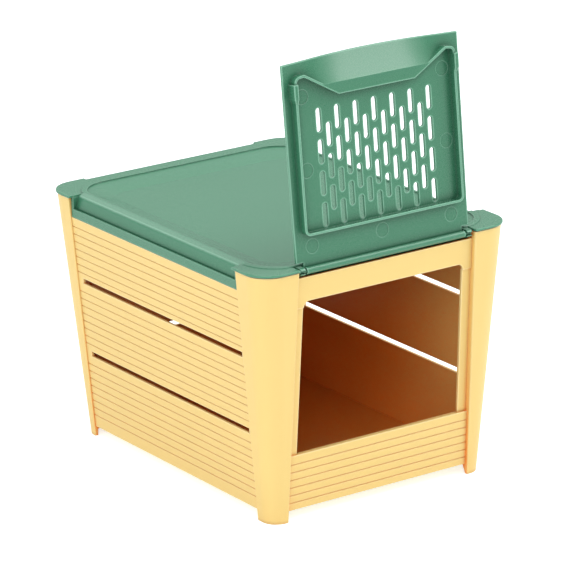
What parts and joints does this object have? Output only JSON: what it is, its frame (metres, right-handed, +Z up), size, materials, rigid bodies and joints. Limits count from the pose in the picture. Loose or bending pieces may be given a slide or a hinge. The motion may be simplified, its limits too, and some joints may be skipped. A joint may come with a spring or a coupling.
{
  "type": "potato storage bin",
  "caption": "Tapering ribbed plastic crate with a lift-off lid and a vented front flap that hangs from the lid over a wide front window.",
  "frame": {"origin": "bottom centre of the crate: Z = 0 is the plane its four feet stand on, X = 0 and Y = 0 pass through the middle of the crate", "axes": "+Z up, +X to the right as seen from the front, -Y toward the front with the window and the flap"},
  "size_m": [0.2354, 0.3024, 0.3591],
  "materials": {
    "crate_yellow": "satin moulded",
    "lid_green": "satin moulded"
  },
  "bodies": {
    "crate": {"post_front_left": "crate_yellow", "post_front_right": "crate_yellow", "post_rear_left": "crate_yellow", "post_rear_right": "crate_yellow", "wall_left": "crate_yellow", "wall_right": "crate_yellow", "wall_rear": "crate_yellow", "front_rail": "crate_yellow", "jamb_left": "crate_yellow", "jamb_right": "crate_yellow", "front_lower_panel": "crate_yellow", "crate_floor": "crate_yellow"},
    "lid": {"lid_top": "lid_green", "lid_skirt_left": "lid_green", "lid_skirt_right": "lid_green", "lid_skirt_rear": "lid_green", "lid_front_wall": "lid_green", "hinge_lug_left": "lid_green", "hinge_lug_right": "lid_green"},
    "flap": {"flap_panel": "lid_green", "flap_hinge_barrel": "lid_green"}
  },
  "joints": [
    {"name": "lid_lift", "type": "slide", "parent": "crate", "child": "lid", "axis": [0, 0, 1], "range_m": [0, 0.18]},
    {"name": "flap_hinge", "type": "hinge", "parent": "lid", "child": "flap", "pos_m": [0, -0.146, 0.2024], "axis": [1, 0, 0], "range_deg": [0, 190]}
  ]
}
